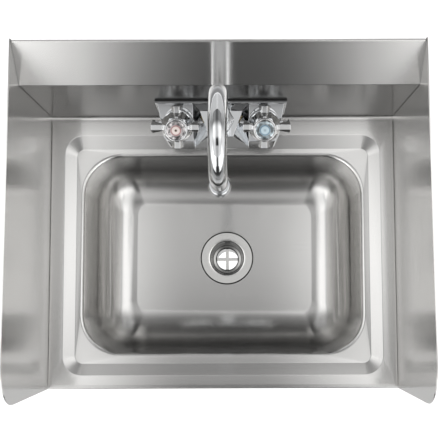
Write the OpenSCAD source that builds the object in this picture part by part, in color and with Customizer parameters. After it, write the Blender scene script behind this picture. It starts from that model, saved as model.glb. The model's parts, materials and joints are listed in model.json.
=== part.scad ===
// Wall hung hand wash sink: one drawn and folded steel sheet, two side splashes, a hook bracket,
// a cross bar drain and a two handle splash mounted faucet with a swivelling gooseneck.
// X runs to the right, Y to the wall, Z up. The origin is the middle of the bracket's screw holes, at the wall.

/* [Deck and bowl] */
// Width of the deck between the side splashes
deck_w = 438; // [430:1:520]
// Depth from the wall to the front edge
deck_d = 385.3; // [380:0.1:424]
// Thickness of the steel sheet
sheet_t = 1.2; // [0.9:0.1:1.5]
// Width of the bowl's opening
bowl_w = 358; // [320:1:366]
// Length of the bowl's opening, front to back
bowl_l = 255; // [230:1:262]
// Distance from the wall to the bowl's back edge
bowl_back = 88.8; // [86:0.1:94]
// Depth of the bowl below the deck at its drain
bowl_depth = 127.5; // [115:0.5:170]
// Corner radius of the bowl's opening, seen from above
bowl_corner_r = 50; // [40:1:60]
// Radius between the bowl's walls and its floor
floor_r = 50; // [35:1:55]
// Draft of the bowl's walls in degrees
wall_draft = 4; // [2:0.5:6]
// Fall of the floor from its edge to the drain
floor_fall = 1.5; // [0.5:0.5:4]
// Radius of the bowl's upper edge
lip_r = 5; // [3:0.5:6]
// Width of the flat rim beside the recess
rim_side = 17.2; // [12:0.1:20]
// Width of the flat rim in front of the recess
rim_front = 16; // [12:0.1:18]
// Width of the flat rim behind the recess
rim_back = 23.5; // [20:0.1:27]
// Fall of the rim from the edge to the recess
rim_fall = 0.6; // [0.2:0.1:1.5]
// Depth of the recess round the bowl
recess_drop = 5; // [3:0.5:7]
// Width of the sloping band of the recess at its sides and front
step_w = 15.7; // [13:0.1:16.5]
// Width of the sloping band of the recess at its back
step_back_w = 18.5; // [16:0.1:20]
// Corner radius of the recess, seen from above
recess_corner_r = 25; // [20:1:26]
// Height of the turned down front and side flanges
apron_h = 38; // [25:1:50]
// Width of the flanges' bottom return
return_w = 12; // [8:1:20]
// Outer radius of the sheet's folds
fold_r = 2; // [1.8:0.1:3]

/* [Splashes] */
// Height of the back and side splashes above the deck
splash_h = 203; // [190:1:260]
// Distance from the wall to the upright face of the back splash
splash_y = 40.5; // [38:0.1:43]
// Radius of the fold between the deck and the back splash
cove_r = 4; // [3:0.5:6]
// Width of the dark joint between the back splash and a side splash
seam_w = 0.9; // [0.5:0.1:1.5]
// Height of the flange that hangs on the bracket
hook_flange_h = 28; // [22:1:34]
// Radius of the side splashes' upper front corners
side_corner_r = 48; // [20:1:80]
// How far the side splashes lean out at their upper front corners
side_lean = 3; // [0.5:0.5:6]

/* [Wall bracket] */
// Height of the bracket's screws above the deck
screw_h = 150; // [120:1:155]
// Length of the bracket
bracket_w = 380; // [340:1:400]
// Thickness of the bracket
bracket_t = 2; // [1.5:0.1:2.5]
// Distance between the bracket's two screws
screw_spacing = 304.8; // [200:0.1:320]
// Radius of the bracket's screw holes
screw_hole_r = 4; // [2.5:0.5:5]

/* [Drain] */
// Drain's place to the right of the middle of the bowl
drain_shift = 3.5; // [0:0.5:6]
// Radius of the drain's flange
flange_r = 37.3; // [36:0.1:39]
// Radius of the drain's barrel
barrel_r = 25.2; // [24.8:0.1:26]
// Radius of the throat at its top
throat_r = 23; // [22:0.1:23.4]
// Radius of the hole that the cross bars span
cross_hole_r = 15.5; // [14:0.1:17]
// Width of a cross bar
cross_bar_w = 4.2; // [3:0.1:5]
// Depth of the cross bars below the flange
cross_depth = 40; // [30:1:44]
// Length of the drain's barrel
barrel_len = 60; // [58:1:75]
// Outer radius of the tailpiece tube
tail_r = 19.05; // [17:0.05:19.5]
// Length of the tailpiece
tail_len = 102; // [60:1:160]

/* [Faucet] */
// Distance between the middles of the two valves
valve_spacing = 101.6; // [100:0.1:104]
// Lean of the valves to the front in degrees
valve_lean = 22; // [18:0.5:24]
// Height of the faucet's top edge above the deck
body_top = 95.5; // [92:0.5:100]
// Height of the faucet's underside above the deck
body_bottom = 33; // [28:0.5:35]
// Distance from the wall to the faucet's front
body_reach = 88; // [87:0.5:94]
// Half the width of the faucet's back plate
plate_half = 77; // [75:0.5:82]
// Outer radius of a supply shank
shank_r = 10.4; // [9.5:0.1:10.6]
// How far a supply shank stands out behind the back splash
shank_reach = 32; // [26:0.5:36]
// Radius of the bore that a valve cartridge sits in
cartridge_r = 9.5; // [9.2:0.1:9.8]
// Radius of a valve spindle
spindle_r = 4; // [3.9:0.1:4.3]
// Radius of a handle's hub at its widest
hub_r = 18.8; // [18.4:0.1:20]
// Reach of a handle's three short arms from its axis
arm_reach = 25; // [23.5:0.1:26]
// Reach of the long arm that shows the handle's position
long_arm_reach = 30.5; // [28:0.1:33]
// Radius of an index button
index_r = 11.6; // [11:0.1:12]

/* [Spout] */
// Outer radius of the gooseneck tube
tube_r = 9.525; // [9.3:0.025:9.7]
// Wall of the gooseneck tube
tube_wall = 1.1; // [0.8:0.1:1.5]
// Bend radius of the gooseneck, on the tube's middle
goose_r = 44; // [38:0.5:50]
// Height of the middle of the gooseneck's bend above the deck
goose_h = 216; // [200:1:230]
// Distance from the wall to the spout's swivel axis
spout_y = 63; // [62:0.1:64]
// Outer radius of the aerator
aerator_r = 12.5; // [11.8:0.1:13]
// Height of the aerator's outlet above the deck
outlet_h = 149; // [145:1:156]

/* [Hidden] */

$fn = 64;
// Radial clearance of a running fit
fit = 0.05;
// A little more than nothing, for cuts that pass through a face
eps = 0.01;

steel = [0.72, 0.72, 0.71];
chrome = [0.85, 0.87, 0.88];
brass = [0.80, 0.66, 0.36];
rubber = [0.10, 0.10, 0.10];
ceramic = [0.93, 0.93, 0.90];
plastic = [0.90, 0.90, 0.88];

// Extents of the recess and the bowl: half width, front, back
recess_xh = deck_w / 2 - rim_side;
recess_f = -deck_d + rim_front;
recess_b = -splash_y - rim_back;
bowl_b = -bowl_back;
bowl_f = bowl_b - bowl_l;
drain_at = [drain_shift, (bowl_f + bowl_b) / 2];

// Depths of the drawn sheet
recess_z = -rim_fall - recess_drop;
floor_edge_z = -bowl_depth + floor_fall;
seat_sink = 1.5;
seat_z = -bowl_depth - seat_sink;
sheet_under_seat = seat_z - sheet_t;

// Points along each quarter of a ring, and steps of the two curves of the bowl's section
ring_steps = 10;
lip_steps = 4;
floor_steps = 11;

// Everything above is measured from the deck, which lies below the bracket's screws
module on_deck() translate([0, 0, -screw_h]) children();

// A closed ring: a rectangle with round corners, given by its middle, half width, front, back, radius and height
function ring(cx, xh, f, b, r, z) = [
    for (q = [0:3], i = [0:ring_steps])
        let (a = 90 * (q + i / ring_steps),
             x = q == 0 || q == 3 ? cx + xh - r : cx - xh + r,
             y = q < 2 ? b - r : f + r)
        [x + r * cos(a), y + r * sin(a), z]
];

// Triangles between two neighbouring rings whose points start at p and q
function band_faces(p, q, n) = [
    for (i = [0:n - 1], half = [0, 1])
        let (j = (i + 1) % n)
        half == 0 ? [p + i, q + j, p + j] : [p + i, q + i, q + j]
];

// Section of the drawn sheet. Each station holds middle, half width, front, back, corner radius, height and slope
step_slope = atan(recess_drop / step_w);
step_r = 3;
step_in = step_r * sin(step_slope);
step_dip = step_r * (1 - cos(step_slope));
wall_slope = 90 - wall_draft;
lip_out = 2;
lip_drop = lip_r * (1 - cos(wall_slope));
ledge_z = recess_z - 0.3;
wall_top_z = ledge_z - lip_drop;
wall_foot_z = floor_edge_z + floor_r * (1 - cos(wall_slope));
wall_in = (wall_top_z - wall_foot_z) * tan(wall_draft);
lip_in = lip_r * sin(wall_slope);
fillet_in = floor_r * sin(wall_slope);
bowl_in = lip_in + wall_in + fillet_in;
floor_corner_r = 12;
drain_ring_r = flange_r + 7;

function recess_station(inset, z, slope) =
    [0, recess_xh - inset, recess_f + inset, recess_b - inset * step_back_w / step_w,
     recess_corner_r - inset, z, slope];
function bowl_station(inset, z, slope) =
    [0, bowl_w / 2 + lip_out - inset, bowl_f - lip_out + inset, bowl_b + lip_out - inset,
     bowl_corner_r + lip_out - inset * (bowl_corner_r + lip_out - floor_corner_r) / bowl_in, z, slope];

// The sheet's margin is a hair thinner than the folded strips that it runs into
margin = 0.02;
function rim_station(inset, r, fall) =
    [0, deck_w / 2 - inset, -deck_d + inset, -splash_y - cove_r + fold_r - inset, r, -margin - fall, 0];

stations = concat(
    [rim_station(fold_r + 0.5, 1, 0)],
    [rim_station(fold_r + 2.5, 1, 0)],
    [recess_station(0, -margin - rim_fall, 0)],
    [recess_station(step_in, -margin - rim_fall - step_dip, step_slope)],
    [recess_station(step_w - step_in, recess_z + step_dip, step_slope)],
    [recess_station(step_w, recess_z, 0)],
    [for (i = [0:lip_steps])
        let (a = wall_slope * i / lip_steps)
        bowl_station(lip_r * sin(a), ledge_z - lip_r * (1 - cos(a)), a)],
    [for (i = [0:floor_steps])
        let (a = wall_slope * (1 - i / floor_steps))
        bowl_station(bowl_in - floor_r * sin(a), floor_edge_z + floor_r * (1 - cos(a)), a)],
    [[drain_at[0], drain_ring_r, drain_at[1] - drain_ring_r, drain_at[1] + drain_ring_r,
      drain_ring_r - 0.5, -bowl_depth, 0]]
);

function upper_ring(s) = ring(s[0], s[1], s[2], s[3], s[4], s[5]);
function lower_ring(s) =
    let (g = sheet_t * sin(s[6]), thin = s[5] == -margin ? 2 * margin : 0)
    ring(s[0], s[1] + g, s[2] - g, s[3] + g, s[4] + g, s[5] - sheet_t * cos(s[6]) + thin);

// The deck, its recess and the bowl, drawn from one sheet
module drawn_sheet() {
    n = 4 * (ring_steps + 1);
    m = len(stations);
    upper = [for (s = stations) each upper_ring(s)];
    lower = [for (s = stations) each lower_ring(s)];
    last = (m - 1) * n;
    faces = concat(
        [for (k = [0:m - 2]) each band_faces(k * n, (k + 1) * n, n)],
        [for (k = [0:m - 2]) each band_faces((m + k + 1) * n, (m + k) * n, n)],
        band_faces(m * n, 0, n),
        [[for (i = [n - 1:-1:0]) last + i]],
        [[for (i = [0:n - 1]) m * n + last + i]]
    );
    polyhedron(concat(upper, lower), faces, convexity = 10);
}

// A path with its corners rounded: each entry is [point, left normal]
function unit(v) = v / norm(v);
function turned(v, a) = [v[0] * cos(a) - v[1] * sin(a), v[0] * sin(a) + v[1] * cos(a)];
function left_of(v) = [-v[1], v[0]];
function cross2(u, v) = u[0] * v[1] - u[1] * v[0];
function bend(a, b, c, r, steps) =
    let (u = unit(b - a),
         v = unit(c - b),
         s = cross2(u, v) > 0 ? 1 : -1,
         turn = acos(u * v),
         start = b - u * r * tan(turn / 2),
         middle = start + s * r * left_of(u))
    [for (i = [0:steps])
        let (nrm = turned(left_of(u), s * turn * i / steps))
        [middle - s * r * nrm, nrm]];
function folded_path(p, r, steps = 6) = concat(
    [[p[0], left_of(unit(p[1] - p[0]))]],
    [for (i = [1:len(p) - 2]) each bend(p[i - 1], p[i], p[i + 1], r[i - 1], steps)],
    [[p[len(p) - 1], left_of(unit(p[len(p) - 1] - p[len(p) - 2]))]]
);

// Outline of a folded sheet whose visible face is the path. It lies to the right of it, from depth d to depth t
function folded_outline(path, t, d = 0) = concat(
    [for (e = path) e[0] - d * e[1]],
    [for (i = [len(path) - 1:-1:0]) path[i][0] - t * path[i][1]]
);

// A folded sheet running along X, its path given in Y and Z
module folded_x(p, r, t, w, d = 0) {
    translate([-w / 2, 0, 0])
        rotate([90, 0, 90]) linear_extrude(w) polygon(folded_outline(folded_path(p, r), t, d));
}

// The back splash: deck edge, upright face, slope to the wall and the flange that hangs on the bracket
back_path = [
    [-splash_y - cove_r - 3, 0],
    [-splash_y, 0],
    [-splash_y, splash_h - splash_y],
    [0, splash_h],
    [0, splash_h - hook_flange_h]
];

// The sheet is thinner at its ends, which leaves a dark joint beside each side splash
seam_depth = 0.75 * sheet_t;
module back_splash() {
    folds = [cove_r, fold_r, fold_r];
    folded_x(back_path, folds, sheet_t, deck_w - 2 * seam_w);
    folded_x(back_path, folds, sheet_t, deck_w, seam_depth);
}

// A turned down flange with its bottom return, for an edge at distance d
function flange_path(d) = [
    [-d + return_w, -apron_h],
    [-d, -apron_h],
    [-d, 0],
    [-d + fold_r + 3, 0]
];

module side_flange() {
    y_front = -deck_d + fold_r;
    y_back = -splash_y - cove_r;
    translate([0, y_back, 0]) rotate([90, 0, 0])
        linear_extrude(y_back - y_front)
            polygon(folded_outline(folded_path(flange_path(deck_w / 2), [fold_r, fold_r]), sheet_t));
}

splash_hole_r = shank_r + 2.6;

module sink_shell() on_deck() color(steel)
    difference() {
        union() {
            drawn_sheet();
            back_splash();
            folded_x(flange_path(deck_d), [fold_r, fold_r], sheet_t, deck_w);
            side_flange();
            mirror([1, 0, 0]) side_flange();
            translate([drain_at[0], drain_at[1], seat_z - sheet_t])
                cylinder(r = flange_r + 1.2 + sheet_t, h = seat_sink + sheet_t / 2);
        }
        translate([drain_at[0], drain_at[1], seat_z]) {
            cylinder(r = flange_r + 1.2, h = seat_sink + 1);
            translate([0, 0, -sheet_t - 1]) cylinder(r = barrel_r + 0.8, h = sheet_t + 2);
        }
        for (s = [-1, 1])
            translate([s * valve_spacing / 2, -splash_y - 1, shank_h])
                rotate([-90, 0, 0]) cylinder(r = splash_hole_r, h = sheet_t + 2);
    }

// A side splash, standing on the outside of the side flange. It leans out towards its upper front corner
side_steps = 8;
corner_steps = 8;
function side_lean_at(y, z) = side_lean * max(0, z) / splash_h * -y / deck_d;
function side_top(y) =
    let (in = side_corner_r - deck_d - y)
    y > side_corner_r - deck_d ? splash_h
        : splash_h - side_corner_r + sqrt(max(0, side_corner_r * side_corner_r - in * in));
side_ys = concat(
    [for (i = [0:side_steps]) -(deck_d - side_corner_r) * i / side_steps],
    [for (i = [1:corner_steps]) side_corner_r - deck_d - side_corner_r * sin(90 * i / corner_steps)]
);
function side_column(y, out) = [
    for (z = [-apron_h, 0, side_top(y) / 2, side_top(y)])
        [deck_w / 2 + side_lean_at(y, z) + out, y, z]
];

module side_splash() {
    rows = 4;
    m = len(side_ys);
    inner = [for (y = side_ys) each side_column(y, 0)];
    outer = [for (y = side_ys) each side_column(y, sheet_t)];
    o = m * rows;
    faces = concat(
        [for (k = [0:m - 2], i = [0:rows - 2], half = [0, 1])
            let (a = k * rows + i, b = a + 1, c = a + rows, d = c + 1)
            half == 0 ? [a, c, d] : [a, d, b]],
        [for (k = [0:m - 2], i = [0:rows - 2], half = [0, 1])
            let (a = o + k * rows + i, b = a + 1, c = a + rows, d = c + 1)
            half == 0 ? [a, d, c] : [a, b, d]],
        [for (k = [0:m - 2], half = [0, 1])
            let (a = k * rows, c = a + rows)
            half == 0 ? [a, o + a, o + c] : [a, o + c, c]],
        [for (k = [0:m - 2], half = [0, 1])
            let (a = k * rows + rows - 1, c = a + rows)
            half == 0 ? [a, c, o + c] : [a, o + c, o + a]],
        [for (i = [0:rows - 2], half = [0, 1])
            half == 0 ? [i, i + 1, o + i + 1] : [i, o + i + 1, o + i]],
        [for (i = [0:rows - 2], half = [0, 1])
            let (a = (m - 1) * rows + i)
            half == 0 ? [a, o + a, o + a + 1] : [a, o + a + 1, a + 1]]
    );
    polyhedron(concat(inner, outer), faces, convexity = 4);
}

module side_splash_right() on_deck() color(steel) side_splash();
module side_splash_left() on_deck() color(steel) mirror([1, 0, 0]) side_splash();

// The bracket on the wall: its upper lip stands off so that the sink's flange drops in behind it
lip_gap = sheet_t + 0.6;
lip_foot = splash_h - hook_flange_h - 3;
lip_top = splash_h - lip_gap - bracket_t - sheet_t * sqrt(2) - 0.3;
bracket_path = [
    [-bracket_t, screw_h - 20],
    [-bracket_t, lip_foot - lip_gap],
    [-bracket_t - lip_gap, lip_foot],
    [-bracket_t - lip_gap, lip_top]
];

module wall_bracket() on_deck() color([0.62, 0.63, 0.64])
    difference() {
        folded_x(bracket_path, [bracket_t, bracket_t + 0.5], bracket_t, bracket_w);
        for (s = [-1, 1])
            translate([s * screw_spacing / 2, -bracket_t - 1, screw_h])
                rotate([-90, 0, 0]) cylinder(r = screw_hole_r, h = bracket_t + 2);
    }

// The drain. Its flange lies in the dished seat of the bowl's floor
flange_edge_h = 1.7;
cross_z = -cross_depth;
cross_h = 4;
outlet_thread_r = barrel_r - 1.1;
outlet_thread_len = 24;

module drain_at_seat() on_deck() translate([drain_at[0], drain_at[1], seat_z]) children();

module drain_body() drain_at_seat() color(chrome) {
    rotate_extrude() polygon([
        [throat_r + 1.4, flange_edge_h - 0.5],
        [throat_r + 3, flange_edge_h - 0.1],
        [flange_r - 1.2, flange_edge_h],
        [flange_r, flange_edge_h - 0.7],
        [flange_r, 0],
        [barrel_r, 0],
        [barrel_r, -barrel_len + outlet_thread_len],
        [outlet_thread_r, -barrel_len + outlet_thread_len - 1],
        [outlet_thread_r, -barrel_len],
        [cross_hole_r + 1.5, -barrel_len],
        [cross_hole_r, cross_z - cross_h],
        [cross_hole_r, cross_z + 0.6],
        [cross_hole_r + 0.6, cross_z + 1.2],
        [throat_r - 2.6, cross_z + 2],
        [throat_r, -4],
        [throat_r + 0.4, flange_edge_h - 1.9]
    ]);
    intersection() {
        translate([0, 0, cross_z - cross_h]) cylinder(r = cross_hole_r + 0.4, h = cross_h);
        for (a = [0, 90]) rotate([0, 0, a])
            translate([-flange_r, -cross_bar_w / 2, cross_z - cross_h]) cube([2 * flange_r, cross_bar_w, cross_h]);
    }
}

module washer(r_in, r_out, h) difference() {
    cylinder(r = r_out, h = h);
    translate([0, 0, -1]) cylinder(r = r_in, h = h + 2);
}

gasket_h = 3;
friction_h = 1.5;
locknut_h = 9;
gasket_z = -sheet_t - gasket_h;
friction_z = gasket_z - friction_h;
locknut_z = friction_z - locknut_h;

module drain_gasket() drain_at_seat() color(rubber)
    translate([0, 0, gasket_z]) washer(barrel_r + 0.3, flange_r, gasket_h);

module drain_friction_ring() drain_at_seat() color([0.62, 0.52, 0.38])
    translate([0, 0, friction_z]) washer(barrel_r + 0.3, flange_r, friction_h);

// The locknut has lugs for a spud wrench
lug_count = 6;
module drain_locknut() drain_at_seat() color([0.66, 0.64, 0.60])
    translate([0, 0, locknut_z]) difference() {
        union() {
            cylinder(r = barrel_r + 6, h = locknut_h);
            translate([0, 0, locknut_h - 3]) cylinder(r = flange_r - 1, h = 3);
            for (i = [0:lug_count - 1]) rotate([0, 0, i * 360 / lug_count])
                translate([barrel_r + 2, -4, 0]) cube([7.5, 8, locknut_h - 1]);
        }
        translate([0, 0, -1]) cylinder(r = barrel_r + fit, h = locknut_h + 2);
    }

// The tailpiece hangs from the barrel by its flared top and a coupling nut
tail_wall = 1;
tail_washer_h = 2;
tail_flare_h = 1.5;
tail_nut_lip = 3;
tail_flare_r = outlet_thread_r - 1;
tail_top_z = -barrel_len - tail_washer_h;

module tailpiece_washer() drain_at_seat() color(rubber)
    translate([0, 0, tail_top_z]) washer(tail_r, tail_flare_r, tail_washer_h);

// The tube is a hair thinner inside its nut, so that its free end is one clean stretch for a trap
tail_relief = 0.4;
tail_relief_len = tail_flare_h + tail_nut_lip + 1;
module tailpiece() drain_at_seat() color(chrome)
    translate([0, 0, tail_top_z]) difference() {
        union() {
            translate([0, 0, -tail_len]) cylinder(r = tail_r, h = tail_len - tail_relief_len);
            translate([0, 0, -tail_len]) cylinder(r = tail_r - tail_relief, h = tail_len);
            translate([0, 0, -tail_flare_h]) cylinder(r = tail_flare_r, h = tail_flare_h);
        }
        translate([0, 0, -tail_len - 1]) cylinder(r = tail_r - tail_wall, h = tail_len + 2);
    }

tail_nut_h = 20;
tail_nut_r = outlet_thread_r + 3.6;
tail_nut_z = tail_top_z - tail_flare_h - tail_nut_lip - fit;
module tailpiece_nut() drain_at_seat() color(chrome)
    translate([0, 0, tail_nut_z]) difference() {
        union() {
            cylinder(r = tail_nut_r, h = tail_nut_h);
            translate([0, 0, 4]) cylinder(r = tail_nut_r + 2.6, h = tail_nut_h - 7, $fn = 8);
        }
        translate([0, 0, tail_nut_lip]) cylinder(r = outlet_thread_r + fit, h = tail_nut_h);
        translate([0, 0, -1]) cylinder(r = tail_r + 2 * fit, h = tail_nut_h);
    }

// The faucet's body stands against the back splash on its gasket
body_gasket_t = 1.5;
body_back = -splash_y - body_gasket_t;
body_front = -body_reach;
plate_t = 3;
plate_front = body_back - plate_t;
boss_drop = 2.5;
boss_inner = 33;
boss_half = plate_half - 2.5;
boss_front_half = plate_half - 8;
boss_round = 10;
shank_h = body_bottom + 17;

// A valve's own frame: its origin is where its axis leaves the sloping top of the boss
valve_y = -spout_y - 4.5;
valve_z = body_top - boss_drop + (valve_y - plate_front) * tan(valve_lean);
module at_valve(side) on_deck()
    translate([side * valve_spacing / 2, valve_y, valve_z]) rotate([valve_lean, 0, 0]) children();

top_back = (plate_front - valve_y) / cos(valve_lean);
top_front = (body_front + 1 - valve_y) / cos(valve_lean);

module speck(x, y, z) translate([x, y, z]) cube(eps);
module boss_corner(x, y, z) translate([x - boss_round, y + boss_round, z]) cylinder(r = boss_round, h = eps, $fn = 32);

// A boss stands between its inner side, which is upright, and its outer side, which tapers to the front
module valve_boss() hull() {
    speck(boss_inner, plate_front, body_bottom);
    speck(boss_half, plate_front, body_bottom);
    speck(boss_inner, body_front, body_bottom);
    boss_corner(boss_front_half - 1.5, body_front, body_bottom);
    translate([valve_spacing / 2, valve_y, valve_z]) rotate([valve_lean, 0, 0]) {
        speck(boss_inner - valve_spacing / 2, top_back, -eps);
        speck(boss_half - valve_spacing / 2, top_back, -eps);
        speck(boss_inner - valve_spacing / 2, top_front, -eps);
        boss_corner(boss_front_half - valve_spacing / 2, top_front, -eps);
    }
}

// The saddle between the bosses falls from the back plate and narrows to a waist at the front
saddle_back_y = plate_front - 6.2;
saddle_back_z = body_top - 13.5;
saddle_back_half = 25.3;
waist_y = body_front + 6.5;
waist_z = saddle_back_z - 4;
waist_half = 14.2;
module saddle() {
    hull() for (s = [-1, 1]) {
        speck(s * saddle_back_half, saddle_back_y, saddle_back_z);
        speck(s * waist_half, waist_y, waist_z);
        speck(s * (boss_inner + 2), body_front + 1, body_bottom);
        speck(s * (boss_inner + 2), plate_front, body_bottom);
    }
    hull() for (s = [-1, 1]) {
        speck(s * boss_inner, plate_front + 1, body_top - boss_drop);
        speck(s * boss_inner, plate_front + 1, waist_z - 10);
        speck(s * saddle_back_half, saddle_back_y, saddle_back_z);
        speck(s * saddle_back_half, saddle_back_y, waist_z - 10);
    }
}

spout_boss_r = 12;
spout_boss_top = saddle_back_z + 9;
socket_r = 10.8;
duct_r = 5;
duct_z = waist_z - duct_r;
socket_floor = duct_z - duct_r - 4;
shank_seat = 10;
cart_depth = 18;
seal_h = 2;

module faucet_body() on_deck() color(chrome)
    difference() {
        union() {
            translate([-plate_half, plate_front, body_bottom])
                cube([2 * plate_half, plate_t, body_top - body_bottom]);
            valve_boss();
            mirror([1, 0, 0]) valve_boss();
            saddle();
            translate([0, -spout_y, waist_z - 5]) cylinder(r = spout_boss_r, h = spout_boss_top - waist_z + 5);
        }
        translate([0, -spout_y, socket_floor]) cylinder(r = socket_r, h = spout_boss_top);
        translate([-valve_spacing / 2, -spout_y, duct_z]) rotate([0, 90, 0])
            cylinder(r = duct_r, h = valve_spacing);
        for (s = [-1, 1]) {
            translate([s * valve_spacing / 2, body_back + 1, shank_h]) rotate([90, 0, 0]) {
                cylinder(r = shank_r + fit, h = shank_seat + 1);
                cylinder(r = 6.5, h = shank_seat + 12);
            }
            translate([s * valve_spacing / 2, valve_y, valve_z]) rotate([valve_lean, 0, 0]) {
                translate([0, 0, -cart_depth - seal_h]) cylinder(r = cartridge_r, h = cart_depth + seal_h + 1);
                translate([0, 0, -cart_depth - seal_h - 13]) cylinder(r = 5, h = 15);
            }
        }
    }

module faucet_gasket() on_deck() color(rubber)
    translate([0, -splash_y, 0]) rotate([90, 0, 0]) difference() {
        translate([-plate_half - 0.6, body_bottom - 0.6, 0])
            cube([2 * plate_half + 1.2, body_top - body_bottom + 1.2, body_gasket_t]);
        for (s = [-1, 1])
            translate([s * valve_spacing / 2, shank_h, -1]) cylinder(r = splash_hole_r, h = body_gasket_t + 2);
    }

module at_shank(side) on_deck()
    translate([side * valve_spacing / 2, 0, shank_h]) rotate([90, 0, 0]) children();

shank_front = -body_back + shank_seat;
shank_back = splash_y - sheet_t - shank_reach;
shank_bore = 7;
shank_washer_h = 1.6;
shank_nut_h = 6;
shank_nut_z = splash_y - sheet_t - shank_washer_h - shank_nut_h;

// The free end that takes a supply nut is a hair thinner than the thread that the locknut runs on
shank_relief = 0.2;
shank_step_z = shank_nut_z - 1;
module shank(side) at_shank(side) color(brass)
    difference() {
        union() {
            translate([0, 0, shank_back]) cylinder(r = shank_r - shank_relief, h = shank_front - shank_back);
            translate([0, 0, shank_step_z]) cylinder(r = shank_r, h = shank_front - shank_step_z);
        }
        translate([0, 0, shank_back - 1]) cylinder(r = shank_bore, h = shank_front - shank_back + 2);
    }
module hot_shank() shank(-1);
module cold_shank() shank(1);

module shank_washers() for (s = [-1, 1]) at_shank(s) color([0.72, 0.72, 0.70])
    translate([0, 0, shank_nut_z + shank_nut_h]) washer(shank_r + fit, shank_r + 7, shank_washer_h);
module shank_locknuts() for (s = [-1, 1]) at_shank(s) color(brass)
    translate([0, 0, shank_nut_z]) difference() {
        cylinder(r = shank_r + 6, h = shank_nut_h, $fn = 6);
        translate([0, 0, -1]) cylinder(r = shank_r + fit, h = shank_nut_h + 2);
    }

// A valve, from its seal up: two ceramic discs, of which the spindle turns the upper one
disc_h = 3;
chamber_r = cartridge_r - 1.8;
disc_r = chamber_r - fit;
fixed_disc_z = -cart_depth + eps;
moving_disc_z = fixed_disc_z + disc_h + eps;
spindle_foot_z = moving_disc_z + disc_h + eps;
spindle_foot_h = 2.5;
chamber_top = spindle_foot_z + spindle_foot_h + fit;
cart_flange_h = 3;
cart_flange_r = 11.5;
cart_neck_r = 7.6;
cart_top = 14;
port_r = 2;

module cartridge(side) at_valve(side) color(brass)
    difference() {
        union() {
            translate([0, 0, -cart_depth]) cylinder(r = cartridge_r - fit, h = cart_depth + 1);
            cylinder(r = cart_flange_r, h = cart_flange_h);
            cylinder(r = cart_neck_r, h = cart_top);
        }
        translate([0, 0, -cart_depth - 1]) cylinder(r = chamber_r, h = chamber_top + cart_depth + 1);
        translate([0, 0, chamber_top - 1]) cylinder(r = spindle_r + fit, h = cart_top + cart_depth);
        translate([-20, -2.5, spindle_foot_z]) cube([40, 5, spindle_foot_h]);
    }
module hot_cartridge() cartridge(-1);
module cold_cartridge() cartridge(1);

module seat_seal(side) at_valve(side) color(rubber)
    translate([0, 0, -cart_depth - seal_h]) washer(5, cartridge_r - fit, seal_h);
module hot_seat_seal() seat_seal(-1);
module cold_seat_seal() seat_seal(1);

// Each disc has two round ports. A quarter turn brings the upper pair over the lower pair
module disc(turn) rotate([0, 0, turn]) difference() {
    cylinder(r = disc_r, h = disc_h);
    for (s = [-1, 1]) translate([s * 4, 0, -1]) cylinder(r = port_r, h = disc_h + 2);
}
module fixed_disc(side) at_valve(side) color(ceramic) translate([0, 0, fixed_disc_z]) disc(0);
module hot_fixed_disc() fixed_disc(-1);
module cold_fixed_disc() fixed_disc(1);
module moving_disc(side) at_valve(side) color(ceramic) translate([0, 0, moving_disc_z]) disc(90);
module hot_moving_disc() moving_disc(-1);
module cold_moving_disc() moving_disc(1);

// The bonnet screws down over the cartridge's flange
bonnet_r = 13.8;
bonnet_top = 12;
module bonnet(side) at_valve(side) color(chrome)
    rotate_extrude() polygon([
        [cart_flange_r + fit, 0],
        [bonnet_r, 0],
        [bonnet_r, 4],
        [bonnet_r - 1, 6],
        [bonnet_r - 2.6, bonnet_top - 1],
        [bonnet_r - 3.6, bonnet_top],
        [cart_neck_r + fit, bonnet_top],
        [cart_neck_r + fit, cart_flange_h + fit],
        [cart_flange_r + fit, cart_flange_h + fit]
    ]);
module hot_bonnet() bonnet(-1);
module cold_bonnet() bonnet(1);

// The spindle's square head fits the handle's socket, and the screw pulls the handle down on it
head_w = 5.4;
head_z = 17;
head_h = 9;
handle_screw_r = 1.9;
screw_len = 12;
module spindle(side) at_valve(side) color(brass)
    difference() {
        union() {
            translate([0, 0, spindle_foot_z]) cylinder(r = disc_r, h = spindle_foot_h);
            translate([0, 0, spindle_foot_z]) cylinder(r = spindle_r, h = head_z - spindle_foot_z);
            translate([-head_w / 2, -head_w / 2, head_z - 1]) cube([head_w, head_w, head_h + 1]);
        }
        translate([0, 0, head_z + head_h - screw_len]) cylinder(r = handle_screw_r + fit, h = screw_len + 1);
    }
module hot_spindle() spindle(-1);
module cold_spindle() spindle(1);

// A handle: a round hub that narrows to the button, with four flared arms, one of them longer
hub_foot = 2.5;
hub_wide = 15;
hub_top = 38;
hub_cavity_r = 15;
hub_cavity_top = 15;
arm_root_w = 8;
arm_tip_w = 14.4;
arm_low = 9;
arm_high = 21;
button_seat = hub_top - 6;
screw_seat = head_z + head_h + 1;

function arm_plan(reach) = concat(
    [[0, -arm_root_w / 2], [hub_r - 4, -arm_root_w / 2]],
    [for (i = [-3:3]) [reach - 2 + 2 * cos(25 * i), arm_tip_w / 2 * sin(25 * i) / sin(75)]],
    [[hub_r - 4, arm_root_w / 2], [0, arm_root_w / 2]]
);
module arm(reach) intersection() {
    linear_extrude(hub_top) polygon(arm_plan(reach));
    rotate([90, 0, 90]) linear_extrude(reach + 1) polygon([
        [-arm_tip_w / 2 - 1, arm_low], [arm_tip_w / 2 + 1, arm_low],
        [arm_tip_w / 2 + 1, arm_high - 5], [3, arm_high], [-3, arm_high], [-arm_tip_w / 2 - 1, arm_high - 5]
    ]);
}

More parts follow.
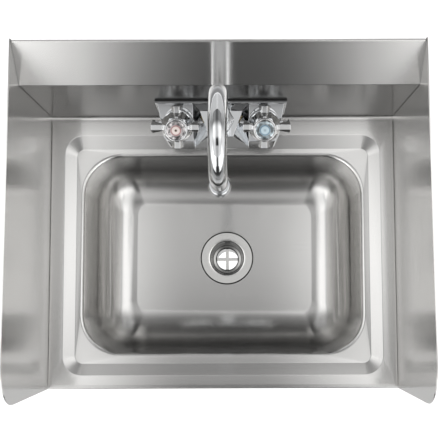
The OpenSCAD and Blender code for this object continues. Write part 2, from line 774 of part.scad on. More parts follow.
module handle(side) at_valve(side) color(chrome)
    difference() {
        union() {
            rotate_extrude() polygon([
                [0, hub_foot],
                [hub_r - 1.4, hub_foot],
                [hub_r - 0.6, hub_foot + 0.8],
                [hub_r, hub_wide - 4],
                [hub_r, hub_wide],
                [hub_r - 0.8, hub_wide + 3.5],
                [hub_r - 2.6, hub_wide + 8],
                [hub_r - 4.4, hub_wide + 13],
                [index_r + 1.7, hub_top - 5],
                [index_r + 1.7, hub_top - 0.8],
                [index_r + 1, hub_top],
                [0, hub_top]
            ]);
            for (q = [0:3]) rotate([0, 0, 90 * q + (side > 0 ? 0 : 180)])
                arm(q == 0 ? long_arm_reach : arm_reach);
        }
        translate([0, 0, hub_foot - 1]) cylinder(r = hub_cavity_r, h = hub_cavity_top - hub_foot + 1);
        translate([0, 0, hub_foot]) cylinder(r = spindle_r + 0.4, h = head_z - hub_foot);
        translate([-head_w / 2 - fit, -head_w / 2 - fit, head_z - 1])
            cube([head_w + 2 * fit, head_w + 2 * fit, head_h + 1 + fit]);
        translate([0, 0, head_z]) cylinder(r = handle_screw_r + 2 * fit, h = hub_top);
        translate([0, 0, screw_seat]) cylinder(r = handle_screw_r + 2.4, h = hub_top);
        translate([0, 0, button_seat]) cylinder(r = index_r + fit, h = hub_top);
    }
module hot_handle() handle(-1);
module cold_handle() handle(1);

module handle_screw(side) at_valve(side) color([0.75, 0.76, 0.76])
    difference() {
        union() {
            translate([0, 0, screw_seat]) cylinder(r = handle_screw_r + 2, h = 3);
            translate([0, 0, screw_seat - screw_len + 2]) cylinder(r = handle_screw_r, h = screw_len - 1);
        }
        for (a = [0, 90]) rotate([0, 0, a])
            translate([-handle_screw_r - 0.4, -0.4, screw_seat + 1.6]) cube([2 * handle_screw_r + 0.8, 0.8, 3]);
    }
module hot_handle_screw() handle_screw(-1);
module cold_handle_screw() handle_screw(1);

// The index button is a domed cap that snaps into the handle's top
index_rise = 2.6;
index_edge = hub_top - button_seat - 0.4;
module index_button(side, tint) at_valve(side) color(tint)
    translate([0, 0, button_seat + eps]) rotate_extrude() polygon(concat(
        [[0, 0], [index_r, 0], [index_r, index_edge]],
        [for (i = [1:8]) [index_r * cos(90 * i / 8), index_edge + index_rise * sin(90 * i / 8)]]
    ));
module hot_index_button() index_button(-1, [0.75, 0.12, 0.12]);
module cold_index_button() index_button(1, [0.12, 0.30, 0.62]);

// The gooseneck: riser, half ring and outlet leg
tube_foot = duct_z - 3;
outlet_y = -spout_y - 2 * goose_r;
aerator_h = 21;
aerator_top = outlet_h + aerator_h;
tube_end = aerator_top - 7;

module tube_section(r) translate([goose_r, 0]) circle(r = r);
module goose(r, cut) {
    translate([0, -spout_y, tube_foot - cut]) cylinder(r = r, h = goose_h - tube_foot + cut);
    translate([0, outlet_y, tube_end - cut]) cylinder(r = r, h = goose_h - tube_end + cut);
    translate([0, -spout_y - goose_r, goose_h]) rotate([90, 0, 90]) rotate_extrude(angle = 180) tube_section(r);
}

module spout_tube() on_deck() color(chrome)
    difference() {
        goose(tube_r, 0);
        goose(tube_r - tube_wall, 1);
    }

// The ferrule is fixed to the tube, and the nut holds it down on the boss
ferrule_h = 3;
module spout_ferrule() on_deck() color(brass)
    translate([0, -spout_y, spout_boss_top + eps]) washer(tube_r, spout_boss_r - 0.4, ferrule_h);

bush_h = 6;
module spout_bush() on_deck() color(plastic)
    translate([0, -spout_y, spout_boss_top - bush_h]) washer(tube_r + fit, socket_r - fit, bush_h);

o_ring_r = (socket_r - tube_r) / 2 - 0.02;
module spout_o_ring() on_deck() color(rubber)
    translate([0, -spout_y, spout_boss_top - bush_h - o_ring_r - 0.1]) rotate_extrude()
        translate([(socket_r + tube_r) / 2, 0]) circle(r = o_ring_r, $fn = 24);

nut_r = 15.6;
nut_bottom = saddle_back_z + 3.6;
nut_top = spout_boss_top + ferrule_h + 3;
module spout_nut() on_deck() color(chrome)
    translate([0, -spout_y, 0]) difference() {
        union() {
            translate([0, 0, nut_bottom]) cylinder(r = nut_r, h = 7, $fn = 6);
            translate([0, 0, nut_bottom]) cylinder(r = nut_r - 2.3, h = nut_top - nut_bottom - 1);
            translate([0, 0, nut_bottom]) cylinder(r = nut_r - 3.3, h = nut_top - nut_bottom);
        }
        translate([0, 0, nut_bottom - 1])
            cylinder(r = spout_boss_r + fit, h = spout_boss_top + ferrule_h - nut_bottom + 1 + 2 * eps);
        translate([0, 0, nut_bottom]) cylinder(r = tube_r + 2 * fit, h = nut_top);
    }

// The aerator screws onto the tube's end
screen_z = outlet_h + 3;
module aerator_shell() on_deck() color(chrome)
    translate([0, outlet_y, outlet_h]) rotate_extrude() polygon([
        [aerator_r - 3.2, 0],
        [aerator_r - 0.8, 0],
        [aerator_r - 0.2, 1],
        [aerator_r, 8],
        [aerator_r, aerator_h - 3],
        [aerator_r - 0.8, aerator_h - 1.2],
        [aerator_r - 2, aerator_h],
        [tube_r + fit, aerator_h],
        [tube_r + fit, 3],
        [aerator_r - 3.2, 3]
    ]);

module aerator_insert() on_deck() color(plastic)
    translate([0, outlet_y, screen_z + eps]) difference() {
        cylinder(r = tube_r - 0.1, h = 9);
        for (k = [0, 1, 2]) for (i = [0:max(0, 6 * k - 1)]) rotate([0, 0, k == 0 ? 0 : i * 60 / k])
            translate([k * 2.7, 0, -1]) cylinder(r = 0.9, h = 12, $fn = 16);
    }

module aerator_washer() on_deck() color(rubber)
    translate([0, outlet_y, screen_z + 9 + 0.02]) washer(tube_r - 2.6, tube_r - 0.1, tube_end - screen_z - 9 - 0.04);

sink_shell();
side_splash_left();
side_splash_right();
wall_bracket();
drain_body();
drain_gasket();
drain_friction_ring();
drain_locknut();
tailpiece_washer();
tailpiece();
tailpiece_nut();
faucet_body();
faucet_gasket();
hot_shank();
cold_shank();
shank_washers();
shank_locknuts();
hot_cartridge();
cold_cartridge();
hot_bonnet();
cold_bonnet();
hot_seat_seal();
cold_seat_seal();
hot_fixed_disc();
cold_fixed_disc();
hot_moving_disc();
cold_moving_disc();
hot_spindle();
cold_spindle();
hot_handle();
cold_handle();
hot_handle_screw();
cold_handle_screw();
hot_index_button();
cold_index_button();
spout_tube();
spout_ferrule();
spout_bush();
spout_o_ring();
spout_nut();
aerator_shell();
aerator_insert();
aerator_washer();
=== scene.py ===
import json
import math

import bpy
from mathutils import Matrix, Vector

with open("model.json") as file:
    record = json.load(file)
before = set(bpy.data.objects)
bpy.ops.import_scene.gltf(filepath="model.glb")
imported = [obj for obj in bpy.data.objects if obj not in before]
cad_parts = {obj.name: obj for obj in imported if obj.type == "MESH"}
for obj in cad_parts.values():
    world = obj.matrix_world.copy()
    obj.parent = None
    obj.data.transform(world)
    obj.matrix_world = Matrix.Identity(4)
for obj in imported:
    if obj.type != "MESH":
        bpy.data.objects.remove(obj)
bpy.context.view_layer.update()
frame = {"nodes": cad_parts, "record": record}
nodes = frame["nodes"]

# Places, sizes and slants on the sink, in metres and radians, in the CAD frame
DECK_Z = -0.150
BOWL_DEPTH = 0.1275
FRONT_EDGE_Y = -0.378
FOLD_Y = -0.0405
FOLD_SLANT = 0.26
GAP_Y = -0.052
GAP_TOP_Z = -0.070
DRAIN_CENTRE = (0.0035, -0.2163, 0)
VALVE_X = 0.0508
VALVE_FOOT = Vector((0, -0.0675, -0.066091))
VALVE_TILT = math.radians(22)
INDEX_R = 0.0116

BOWL_FLOOR_Z = DECK_Z - BOWL_DEPTH
VALVE_AXIS = Vector((0, -math.sin(VALVE_TILT), math.cos(VALVE_TILT)))

# Rings of the drain, among them painted shade and a painted highlight, and of an index button: from one
# radius to another, and what shows there
DRAIN_RINGS = (
    (0.0, 0.0148, "flange"),
    (0.0152, 0.0164, "painted_shade_ring"),
    (0.0172, 0.0198, "seat"),
    (0.0202, 0.0230, "painted_shade_ring"),
    (0.0237, 0.0252, "lip"),
    (0.0262, 0.0352, "flange"),
    (0.0359, 0.0373, "painted_shade_ring"),
)
INDEX_RINGS = (
    (0.0, 0.0010, "dot"),
    (0.0018, 0.0044, "ring"),
    (0.0050, 0.0054, "halo"),
    (0.0068, 0.0100, "clear"),
    (0.0108, INDEX_R, "rim"),
)

# The clear cap of an index button from its halo outwards: painted reflections of its facets set in, and metal
# shows through
CAP_FACETS_IN = (0.0055, 0.0072)
CAP_METAL_IN = (0.0055, 0.0080, 0.0, 0.9)
CAP_FACET_EDGE = (0.35, 0.62)

# Shares of the metals' shading: painted shade on faces that look to the front or back and behind the fold,
# painted light in the gap behind the bosses, and the bowl's floor shaded level; each is the value where a
# share starts and the one where it is whole
FACES_FRONT_OR_BACK = (0.75, 0.98)
FACES_UP = (0.990, 0.998)
HARDLY_SIDEWAYS = (0.055, 0.035)
NEAR_BOWL_FLOOR = (BOWL_FLOOR_Z + 0.014, BOWL_FLOOR_Z + 0.009)
BEHIND_FOLD = (FOLD_Y + 0.003, FOLD_Y + 0.006)
BEHIND_BOSSES = (GAP_Y - 0.001, GAP_Y)
BELOW_GAP_TOP = (GAP_TOP_Z, GAP_TOP_Z - 0.006)

# Facets that meet at less than this angle shade as one curved surface
SMOOTH_BELOW = math.radians(24)
WELD_WITHIN = 1e-6

# Studio, in metres, and the turn that stands a card upright
FLOOR_Z = -0.95
FLOOR_SIZE = 30
GROUND_Z = FLOOR_Z + 0.03
GROUND_SIZE = (14, 14)
CEILING_CENTRE = (0, -0.3, DECK_Z + 1.2)
CEILING_SIZE = (2.6, 2.6)
FRONT_FLAG_CENTRE = (0, -1.6, -0.28)
FRONT_FLAG_SIZE = (1.1, 1.25)
LOW_FLAG_CENTRE = (0, -1.6, -0.55)
LOW_FLAG_SIZE = (2.4, 0.8)
UPRIGHT = math.radians(90)
BACKDROP_R = 14

# Light low down: a step has its start, its end and the light at each, over sideways divided by forward
LAMP_RISE = (0.03, 0.34, 0.0, 1.6)
LAMP_CORE = (0.34, 0.6, 0.0, 0.4)
LAMP_FALL = (0.8, 3.0, 0.0, -0.95)
LEAST_FORWARD = 0.05

# Light low down: steps from the front to the back
LAMP_TO_BACK = (-0.1, 0.3, 1.0, 0.3)
BACK_WALL = (0.2, 0.7, 0.0, 0.4)
LEAST_LIGHT = 0.03

# Light of the ceiling: steps from the front to the back, in metres
MIDDLE_SHIFT = (-0.60, -0.10, 0.0, 0.04)
MIDDLE_SPREAD = (-0.60, -0.10, 0.80, 1.0)
FRONT_CARD = (-0.76, -0.66, 0.55, 0.0)
MIDDLE_RISE = (-0.42, -0.27, 0.0, 0.72)
MIDDLE_FALL = (0.0, 0.35, 0.0, -0.60)
PANEL_RISE = (-0.6, -0.25, 0.92, 1.45)
PANEL_FALL = (0.0, 0.36, 0.0, -1.15)

# Light of the ceiling: steps from the middle to a side, in metres
PANEL_EDGE = (0.08, 0.42)
STRIP_RISE = (0.40, 0.55, 1.0, 1.12)
STRIP_FALL = (0.95, 1.30, 0.0, -0.65)

# Steps of the ground outwards, of the low flag downwards and of the front flag towards its sides
GROUND_FADE = (1.1, 3.2, 0.68, 0.30)
LOW_FLAG_GLOW = (-0.28, -0.50, 0.05, 0.42)
FLAG_FADE = (0.2, 0.5, 1.0, 0.0)

# Camera at the photograph's place
CAMERA_PLACE = (0.0214, -0.2717, DECK_Z + 1.0770)
CAMERA_TURN = (0.0889, -0.0005, -0.0035)
CAMERA_SENSOR = 36
CAMERA_LENS = 69.63
CAMERA_SHIFT = (-0.0459, 0.0032)


# Building blocks of the materials
def new_material(name):
    mat = bpy.data.materials.new(name)
    mat.use_nodes = True
    tree = mat.node_tree
    return mat, tree, tree.nodes["Principled BSDF"]


def attach(tree, value, socket):
    """Links another node's output to the socket, or sets a plain number or colour on it."""
    if isinstance(value, bpy.types.NodeSocket):
        tree.links.new(value, socket)
    elif isinstance(value, (int, float)):
        socket.default_value = value
    else:
        socket.default_value = (*value, 1)


def split(tree, vector):
    """The parts of a vector, called X, Y and Z."""
    node = tree.nodes.new("ShaderNodeSeparateXYZ")
    tree.links.new(vector, node.inputs["Vector"])
    return node.outputs


def noise(tree, scale, detail=3.0):
    """Noise in the object's own space, with one scale or with one for each direction."""
    coords = tree.nodes.new("ShaderNodeTexCoord")
    mapping = tree.nodes.new("ShaderNodeMapping")
    mapping.inputs["Scale"].default_value = scale if isinstance(scale, tuple) else (scale, scale, scale)
    tree.links.new(coords.outputs["Object"], mapping.inputs["Vector"])
    node = tree.nodes.new("ShaderNodeTexNoise")
    node.inputs["Scale"].default_value = 1.0
    node.inputs["Detail"].default_value = detail
    tree.links.new(mapping.outputs["Vector"], node.inputs["Vector"])
    return node.outputs["Fac"]


def computed(tree, operation, first, second=0.0):
    """One operation on two values, each a number or another node's output."""
    node = tree.nodes.new("ShaderNodeMath")
    node.operation = operation
    attach(tree, first, node.inputs[0])
    attach(tree, second, node.inputs[1])
    return node.outputs[0]


def ranged(tree, value, low, high):
    """A straight run from low to high while the value runs from nothing to one."""
    node = tree.nodes.new("ShaderNodeMapRange")
    node.inputs["To Min"].default_value = low
    node.inputs["To Max"].default_value = high
    tree.links.new(value, node.inputs["Value"])
    return node.outputs["Result"]


def eased(tree, value, start, end, low=0.0, high=1.0):
    """A smooth step from low to high while the value runs from start to end."""
    node = tree.nodes.new("ShaderNodeMapRange")
    node.interpolation_type = "SMOOTHSTEP"
    node.inputs["From Min"].default_value = start
    node.inputs["From Max"].default_value = end
    node.inputs["To Min"].default_value = low
    node.inputs["To Max"].default_value = high
    tree.links.new(value, node.inputs["Value"])
    return node.outputs["Result"]


def summed(tree, value, *steps):
    """The sum of smooth steps that run over the same value."""
    total = eased(tree, value, *steps[0])
    for step in steps[1:]:
        total = computed(tree, "ADD", total, eased(tree, value, *step))
    return total


def mixed(tree, share, first, second, blend="MIX"):
    """The first colour where the share is nothing, and the second, or its product, where it is one."""
    node = tree.nodes.new("ShaderNodeMix")
    node.data_type = "RGBA"
    node.blend_type = blend
    tree.links.new(share, node.inputs[0])
    attach(tree, first, node.inputs[6])
    attach(tree, second, node.inputs[7])
    return node.outputs[2]


def shaded(colour, factor):
    return [factor * part for part in colour]


def bumped(tree, shader, height, strength, distance):
    node = tree.nodes.new("ShaderNodeBump")
    node.inputs["Strength"].default_value = strength
    node.inputs["Distance"].default_value = distance
    tree.links.new(height, node.inputs["Height"])
    tree.links.new(node.outputs["Normal"], shader.inputs["Normal"])
    return node


# What depends on the place on the sink: shares, directions, distances and the colours of rings
def across_grain(tree, grain):
    """The direction in the surface across the grain, where brushed steel spreads its highlights."""
    geometry = tree.nodes.new("ShaderNodeNewGeometry")
    cross = tree.nodes.new("ShaderNodeVectorMath")
    cross.operation = "CROSS_PRODUCT"
    cross.inputs[1].default_value = grain
    tree.links.new(geometry.outputs["Normal"], cross.inputs[0])
    return cross.outputs["Vector"]


def upright_painted_shade(tree):
    """One on faces that look straight to the front or the back, but nothing on the turned front edge: where
    painted shade darkens the steel.
    """
    geometry = tree.nodes.new("ShaderNodeNewGeometry")
    place = split(tree, geometry.outputs["Position"])
    facing = split(tree, geometry.outputs["Normal"])
    upright = eased(tree, computed(tree, "ABSOLUTE", facing["Y"]), *FACES_FRONT_OR_BACK)
    return computed(tree, "MULTIPLY", upright, computed(tree, "GREATER_THAN", place["Y"], FRONT_EDGE_Y))


def painted_shade_behind_fold(tree):
    """One on the inner ends of the side splashes, beside the back splash's slope, where painted shade darkens
    the steel.
    """
    coords = tree.nodes.new("ShaderNodeTexCoord")
    place = split(tree, coords.outputs["Object"])
    facing = split(tree, coords.outputs["Normal"])
    inner = computed(tree, "LESS_THAN", computed(tree, "MULTIPLY", place["X"], facing["X"]), 0.0)
    slanted = computed(tree, "ADD", place["Y"], computed(tree, "MULTIPLY", place["Z"], FOLD_SLANT))
    return computed(tree, "MULTIPLY", inner, eased(tree, slanted, *BEHIND_FOLD))


def boss_gap_rough_and_painted_light(tree):
    """One in the narrow gap between the plate and the bosses, where plain chrome goes almost black: there the
    chrome is rougher and paled as painted light.
    """
    geometry = tree.nodes.new("ShaderNodeNewGeometry")
    place = split(tree, geometry.outputs["Position"])
    behind = eased(tree, place["Y"], *BEHIND_BOSSES)
    return computed(tree, "MULTIPLY", behind, eased(tree, place["Z"], *BELOW_GAP_TOP))


def level_floor(tree):
    """The surface's direction, with the bowl's almost flat floor shaded as one level face."""
    geometry = tree.nodes.new("ShaderNodeNewGeometry")
    place = split(tree, geometry.outputs["Position"])
    facing = split(tree, geometry.outputs["Normal"])
    low = eased(tree, place["Z"], *NEAR_BOWL_FLOOR)
    sideways = computed(tree, "ABSOLUTE", facing["X"])
    up = eased(tree, facing["Z"], *FACES_UP)
    flat = computed(tree, "MULTIPLY", up, eased(tree, sideways, *HARDLY_SIDEWAYS))
    mix = tree.nodes.new("ShaderNodeMix")
    mix.data_type = "VECTOR"
    mix.inputs[5].default_value = (0, 0, 1)
    tree.links.new(computed(tree, "MULTIPLY", low, flat), mix.inputs[0])
    tree.links.new(geometry.outputs["Normal"], mix.inputs[4])
    return mix.outputs[1]


def axis_distance(tree, point, axis):
    """The distance from an axis in the object's own space."""
    coords = tree.nodes.new("ShaderNodeTexCoord")
    offset = tree.nodes.new("ShaderNodeVectorMath")
    offset.operation = "SUBTRACT"
    offset.inputs[1].default_value = point
    tree.links.new(coords.outputs["Object"], offset.inputs[0])
    cross = tree.nodes.new("ShaderNodeVectorMath")
    cross.operation = "CROSS_PRODUCT"
    cross.inputs[1].default_value = axis
    tree.links.new(offset.outputs["Vector"], cross.inputs[0])
    length = tree.nodes.new("ShaderNodeVectorMath")
    length.operation = "LENGTH"
    tree.links.new(cross.outputs["Vector"], length.inputs[0])
    return length.outputs["Value"]


def ring_colour(tree, radius, rings, colours):
    """The colour of the ring that the radius lies in, blended in the narrow breaks between the rings."""
    reach = rings[-1][1]
    stops = [(place, colours[kind]) for inner, outer, kind in rings for place in (inner, outer)]
    ramp = tree.nodes.new("ShaderNodeValToRGB")
    while len(ramp.color_ramp.elements) < len(stops):
        ramp.color_ramp.elements.new(1.0)
    for element, (place, colour) in zip(ramp.color_ramp.elements, stops):
        element.position = place / reach
        element.color = (*colour, 1)
    tree.links.new(computed(tree, "DIVIDE", radius, reach), ramp.inputs["Fac"])
    return ramp.outputs["Color"]


# Materials: each is a principled shader with its roughness and bump varied by noise
def brushed_steel(name, base, rough, grain=(1, 0, 0), painted_shade_where=None, shade=1.0):
    """Steel with a grain. Where the given share is one, its colour is multiplied by the shade as painted
    shade.
    """
    mat, tree, shader = new_material(name)
    along, across = 6.0, 900.0
    streaks = noise(tree, tuple(along if part else across for part in grain), detail=2.0)
    clouds = noise(tree, 9, detail=2.0)
    tint = mixed(tree, clouds, shaded(base, 0.95), base)
    # Painted shade: the colour is multiplied by the shade where the share is one
    if painted_shade_where:
        tint = mixed(tree, painted_shade_where(tree), tint, (shade, shade, shade), blend="MULTIPLY")
    tree.links.new(tint, shader.inputs["Base Color"])
    shader.distribution = "GGX"
    shader.inputs["Metallic"].default_value = 1.0
    tree.links.new(ranged(tree, streaks, rough * 0.9, rough * 1.1), shader.inputs["Roughness"])
    shader.inputs["Anisotropic"].default_value = 0.95
    tree.links.new(across_grain(tree, grain), shader.inputs["Tangent"])
    bump = bumped(tree, shader, streaks, 0.02, 0.0002)
    tree.links.new(level_floor(tree), bump.inputs["Normal"])
    return mat


def plated(name, base, rough, wave=0.04, edge=0.0, rough_and_painted_light_where=None):
    """Plated metal, rougher and paled as painted light where asked. With an edge radius its corners shade as
    if rounded.
    """
    mat, tree, shader = new_material(name)
    pale, pale_rough = (0.93, 0.93, 0.94), 0.55
    shader.inputs["Metallic"].default_value = 1.0
    smudge = noise(tree, 60)
    ripple = noise(tree, 35, detail=1.0)
    colour = mixed(tree, smudge, shaded(base, 0.96), base)
    roughness = ranged(tree, smudge, rough * 0.7, rough * 1.4)
    # Where the share is one: rougher, and the colour paled as painted light
    if rough_and_painted_light_where:
        share = rough_and_painted_light_where(tree)
        colour = mixed(tree, share, colour, pale)
        roughness = computed(tree, "MAXIMUM", roughness, computed(tree, "MULTIPLY", share, pale_rough))
    tree.links.new(colour, shader.inputs["Base Color"])
    tree.links.new(roughness, shader.inputs["Roughness"])
    bump = bumped(tree, shader, ripple, wave, 0.001)
    if edge:
        bevel = tree.nodes.new("ShaderNodeBevel")
        bevel.samples = 6
        bevel.inputs["Radius"].default_value = edge
        tree.links.new(bevel.outputs["Normal"], bump.inputs["Normal"])
    return mat


def moulded(name, base, rough):
    """Rubber, plastic, fibre or ceramic with a fine grain."""
    mat, tree, shader = new_material(name)
    grain = noise(tree, 400, detail=4.0)
    tree.links.new(mixed(tree, grain, shaded(base, 0.9), base), shader.inputs["Base Color"])
    tree.links.new(ranged(tree, grain, rough * 0.85, rough * 1.15), shader.inputs["Roughness"])
    bumped(tree, shader, grain, 0.1, 0.0002)
    return mat


def index_disc(name, side, dot, ring, halo, clear):
    """A printed disc under a clear cap: dot, pale ring and thin halo, then clear plastic with painted
    reflections of its facets, and a bright rim.
    """
    mat, tree, shader = new_material(name)
    colours = {"dot": dot, "ring": ring, "halo": halo, "clear": clear, "rim": (0.85, 0.85, 0.86)}
    facet_painted_dark, facet_painted_light = (0.25, 0.25, 0.25), (1, 1, 1)
    radius = axis_distance(tree, VALVE_FOOT + Vector((side * VALVE_X, 0, 0)), VALVE_AXIS)
    printed = ring_colour(tree, radius, INDEX_RINGS, colours)
    # Painted reflections: the clear cap's facets as dark and light patches
    facet = eased(tree, noise(tree, 260, detail=1.0), *CAP_FACET_EDGE)
    facets = mixed(tree, facet, facet_painted_dark, facet_painted_light)
    shade = mixed(tree, eased(tree, radius, *CAP_FACETS_IN), printed, facets, blend="MULTIPLY")
    tree.links.new(shade, shader.inputs["Base Color"])
    tree.links.new(eased(tree, radius, *CAP_METAL_IN), shader.inputs["Metallic"])
    smudge = noise(tree, 300)
    tree.links.new(ranged(tree, smudge, 0.12, 0.2), shader.inputs["Roughness"])
    shader.inputs["Coat Weight"].default_value = 1.0
    bumped(tree, shader, smudge, 0.05, 0.0005)
    return mat


def drain_painted_rings(name, base, rough):
    """A turned drain with rings painted by radius: light flange, a darker seat, painted shade on the throat
    wall and in dark rings at its edges, and a painted highlight at the throat's top edge.
    """
    mat, tree, shader = new_material(name)
    # Painted shade rings at 0.04 and a painted highlight ring at 1.25 of the base colour
    factors = {"flange": 1.0, "painted_shade_ring": 0.04, "seat": 0.60, "lip": 1.25}
    colours = {kind: shaded(base, factor) for kind, factor in factors.items()}
    radius = axis_distance(tree, DRAIN_CENTRE, (0, 0, 1))
    tree.links.new(ring_colour(tree, radius, DRAIN_RINGS, colours), shader.inputs["Base Color"])
    shader.inputs["Metallic"].default_value = 1.0
    turning = noise(tree, 40, detail=2.0)
    tree.links.new(ranged(tree, turning, rough * 0.8, rough * 1.2), shader.inputs["Roughness"])
    bumped(tree, shader, turning, 0.04, 0.001)
    return mat


FINISHES = {
    # Painted shade: the sheet's faces that look to the front or back are darkened to 0.37
    "stainless_sheet": brushed_steel(
        "stainless_sheet", (0.75, 0.743, 0.73), 0.20, painted_shade_where=upright_painted_shade, shade=0.37),
    # Painted shade: the inner ends of the side splashes beside the slope are darkened to 0.45
    "splash_sheet": brushed_steel(
        "splash_sheet", (0.76, 0.753, 0.74), 0.22, grain=(0, 1, 0), painted_shade_where=painted_shade_behind_fold, shade=0.45),
    "bracket_steel": brushed_steel("bracket_steel", (0.55, 0.56, 0.57), 0.38),
    # Painted shade and a painted highlight in rings on the drain
    "drain_painted_rings": drain_painted_rings("drain_painted_rings", (0.70, 0.695, 0.68), 0.2),
    # Darker than the other chrome: painted shade, so the drain reads dark down its throat
    "drain_chrome": plated("drain_chrome", (0.50, 0.495, 0.48), 0.16),
    # Painted light: the chrome in the gap behind the bosses is paled
    "chrome_plate": plated(
        "chrome_plate", (0.70, 0.71, 0.72), 0.03, wave=0.10, edge=0.0012, rough_and_painted_light_where=boss_gap_rough_and_painted_light),
    "handle_chrome": plated("handle_chrome", (0.90, 0.905, 0.91), 0.07, wave=0.16, edge=0.0012),
    "zinc_alloy": plated("zinc_alloy", (0.55, 0.55, 0.53), 0.4, wave=0.3),
    "raw_brass": plated("raw_brass", (0.80, 0.60, 0.30), 0.25),
    "screw_steel": plated("screw_steel", (0.60, 0.61, 0.62), 0.25),
    "black_rubber": moulded("black_rubber", (0.008, 0.008, 0.008), 0.8),
    "fibre": moulded("fibre", (0.33, 0.23, 0.13), 0.8),
    "ceramic": moulded("ceramic", (0.88, 0.88, 0.84), 0.25),
    "white_plastic": moulded("white_plastic", (0.80, 0.80, 0.78), 0.45),
    "red_index": index_disc(
        "red_index", -1,
        dot=(0.06, 0.035, 0.02), ring=(0.80, 0.70, 0.66), halo=(0.36, 0.17, 0.17), clear=(0.56, 0.53, 0.53)),
    "blue_index": index_disc(
        "blue_index", 1,
        dot=(0.36, 0.46, 0.52), ring=(0.54, 0.66, 0.72), halo=(0.14, 0.24, 0.33), clear=(0.42, 0.49, 0.52)),
}
SLOTS = {part["node"]: part["material_slot"] for part in frame["record"]["subparts"]}


def finish_of(node_name):
    """Side splashes, the drain and the handles have a finish of their own, the splashes' and the drain's with
    painted shade, and the rest has its slot's.
    """
    if node_name.startswith("side_splash"):
        return FINISHES["splash_sheet"]
    if node_name == "drain_body":
        return FINISHES["drain_painted_rings"]
    if node_name.endswith("_handle"):
        return FINISHES["handle_chrome"]
    return FINISHES[SLOTS[node_name]]


def dress(obj, material):
    """Gives a CAD node its material and lets its facets shade as one curved surface."""
    obj.data.materials.clear()
    obj.data.materials.append(material)
    for polygon in obj.data.polygons:
        polygon.use_smooth = True
    weld = obj.modifiers.new("join", "WELD")
    weld.merge_threshold = WELD_WITHIN
    sharp = obj.modifiers.new("edges", "EDGE_SPLIT")
    sharp.split_angle = SMOOTH_BELOW
    normals = obj.modifiers.new("normals", "WEIGHTED_NORMAL")
    normals.keep_sharp = True


for name, obj in nodes.items():
    dress(obj, finish_of(name))


# Studio: a pale floor and backdrop, and nearer the sink the lights and dark cards that reflections see
def pale_floor():
    mat, tree, shader = new_material("floor")
    speckle = noise(tree, 30, detail=4.0)
    tree.links.new(mixed(tree, speckle, (0.90, 0.90, 0.90), (0.93, 0.93, 0.93)), shader.inputs["Base Color"])
    shader.inputs["Roughness"].default_value = 0.9
    shader.inputs["Emission Color"].default_value = (1, 1, 1, 1)
    shader.inputs["Emission Strength"].default_value = 0.25
    return mat


def glowing(name, base=0.0):
    """A dull dark surface that gives white light of its own."""
    mat, tree, shader = new_material(name)
    shader.inputs["Base Color"].default_value = (base, base, base, 1)
    shader.inputs["Roughness"].default_value = 1.0
    shader.inputs["Emission Color"].default_value = (1, 1, 1, 1)
    return mat, tree, shader


def ceiling_light():
    """Bright panels at both sides of a darker middle, which is darkest a little forward of the camera."""
    mat, tree, shader = glowing("ceiling")
    geometry = tree.nodes.new("ShaderNodeNewGeometry")
    place = split(tree, geometry.outputs["Position"])
    x, y = place["X"], place["Y"]
    shift = computed(tree, "ADD", x, eased(tree, y, *MIDDLE_SHIFT))
    spread = computed(tree, "MULTIPLY", shift, eased(tree, y, *MIDDLE_SPREAD))
    side = eased(tree, computed(tree, "ABSOLUTE", spread), *PANEL_EDGE)
    middle = summed(tree, y, FRONT_CARD, MIDDLE_RISE, MIDDLE_FALL)
    panel = summed(tree, y, PANEL_RISE, PANEL_FALL)
    gain = computed(tree, "MULTIPLY", side, computed(tree, "SUBTRACT", panel, middle))
    strip = summed(tree, computed(tree, "ABSOLUTE", x), STRIP_RISE, STRIP_FALL)
    light = computed(tree, "MULTIPLY", computed(tree, "ADD", middle, gain), strip)
    tree.links.new(light, shader.inputs["Emission Strength"])
    return mat


def low_flag():
    """An almost black card that gets lighter towards its foot."""
    mat, tree, shader = glowing("flag_low", base=0.01)
    geometry = tree.nodes.new("ShaderNodeNewGeometry")
    height = split(tree, geometry.outputs["Position"])["Z"]
    tree.links.new(eased(tree, height, *LOW_FLAG_GLOW), shader.inputs["Emission Strength"])
    return mat


def soft_flag():
    """A black card that fades out towards its left and right edges."""
    mat, tree, shader = new_material("flag")
    shader.inputs["Base Color"].default_value = (0.01, 0.01, 0.01, 1)
    coords = tree.nodes.new("ShaderNodeTexCoord")
    across = computed(tree, "ABSOLUTE", split(tree, coords.outputs["Object"])["X"])
    tree.links.new(eased(tree, across, *FLAG_FADE), shader.inputs["Alpha"])
    return mat


def grey_ground():
    """What reflections see in place of the pale floor: grey under the sink and darker farther out."""
    mat, tree, shader = glowing("ground")
    geometry = tree.nodes.new("ShaderNodeNewGeometry")
    length = tree.nodes.new("ShaderNodeVectorMath")
    length.operation = "LENGTH"
    tree.links.new(geometry.outputs["Position"], length.inputs[0])
    tree.links.new(eased(tree, length.outputs["Value"], *GROUND_FADE), shader.inputs["Emission Strength"])
    return mat


def pale_backdrop():
    mat, tree, shader = glowing("backdrop")
    speckle = noise(tree, 2, detail=2.0)
    tree.links.new(mixed(tree, speckle, (0.97, 0.97, 0.97), (1, 1, 1)), shader.inputs["Emission Color"])
    shader.inputs["Emission Strength"].default_value = 1.04
    return mat


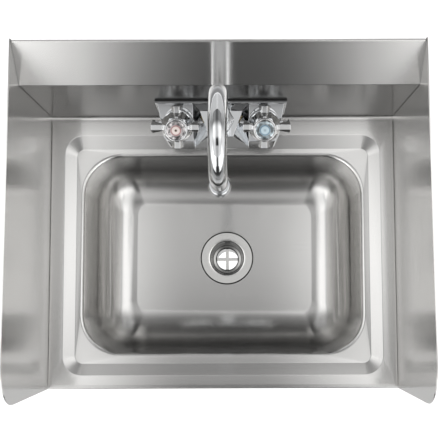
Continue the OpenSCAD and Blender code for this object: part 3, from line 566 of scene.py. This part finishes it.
def studio_sky():
    """Low down: lamps to the left and right of a dark front, and a pale wall behind."""
    world = bpy.data.worlds.new("studio")
    world.use_nodes = True
    tree = world.node_tree
    coords = tree.nodes.new("ShaderNodeTexCoord")
    direction = split(tree, coords.outputs["Generated"])
    x, y = direction["X"], direction["Y"]
    forward = computed(tree, "MAXIMUM", computed(tree, "MULTIPLY", y, -1.0), LEAST_FORWARD)
    turn = computed(tree, "DIVIDE", computed(tree, "ABSOLUTE", x), forward)
    lamps = computed(
        tree, "MULTIPLY", summed(tree, turn, LAMP_RISE, LAMP_CORE, LAMP_FALL), eased(tree, y, *LAMP_TO_BACK))
    light = computed(tree, "ADD", computed(tree, "ADD", lamps, eased(tree, y, *BACK_WALL)), LEAST_LIGHT)
    background = tree.nodes["Background"]
    background.inputs["Color"].default_value = (1, 1, 1, 1)
    tree.links.new(light, background.inputs["Strength"])
    bpy.context.scene.world = world


def stage_plane(name, centre, size, material, tilt=0.0):
    """A part of the studio that only reflections see."""
    bpy.ops.mesh.primitive_plane_add(size=1, location=centre, rotation=(tilt, 0, 0))
    obj = bpy.context.object
    obj.name = name
    obj.scale = (*size, 1)
    obj.data.materials.append(material)
    obj.visible_camera = False
    obj.visible_diffuse = False
    obj.visible_shadow = False


def pale_surroundings():
    """The floor under the sink, and a backdrop all round it that only the camera sees."""
    bpy.ops.mesh.primitive_plane_add(size=FLOOR_SIZE, location=(0, 0, FLOOR_Z))
    floor = bpy.context.object
    floor.name = "floor"
    floor.data.materials.append(pale_floor())
    bpy.ops.mesh.primitive_uv_sphere_add(radius=BACKDROP_R, segments=48, ring_count=24)
    backdrop = bpy.context.object
    backdrop.name = "backdrop"
    backdrop.data.materials.append(pale_backdrop())
    backdrop.visible_diffuse = False
    backdrop.visible_glossy = False
    backdrop.visible_shadow = False


def place_camera():
    data = bpy.data.cameras.new("camera")
    data.sensor_width = CAMERA_SENSOR
    data.lens = CAMERA_LENS
    data.shift_x, data.shift_y = CAMERA_SHIFT
    data.dof.use_dof = False
    camera = bpy.data.objects.new("camera", data)
    bpy.context.scene.collection.objects.link(camera)
    camera.location = CAMERA_PLACE
    camera.rotation_euler = CAMERA_TURN
    bpy.context.scene.camera = camera


pale_surroundings()
studio_sky()
stage_plane("ceiling", CEILING_CENTRE, CEILING_SIZE, ceiling_light())
stage_plane("flag_front", FRONT_FLAG_CENTRE, FRONT_FLAG_SIZE, soft_flag(), tilt=UPRIGHT)
stage_plane("flag_low", LOW_FLAG_CENTRE, LOW_FLAG_SIZE, low_flag(), tilt=UPRIGHT)
stage_plane("ground", (0, 0, GROUND_Z), GROUND_SIZE, grey_ground())
place_camera()
bpy.context.scene.view_settings.view_transform = "Standard"
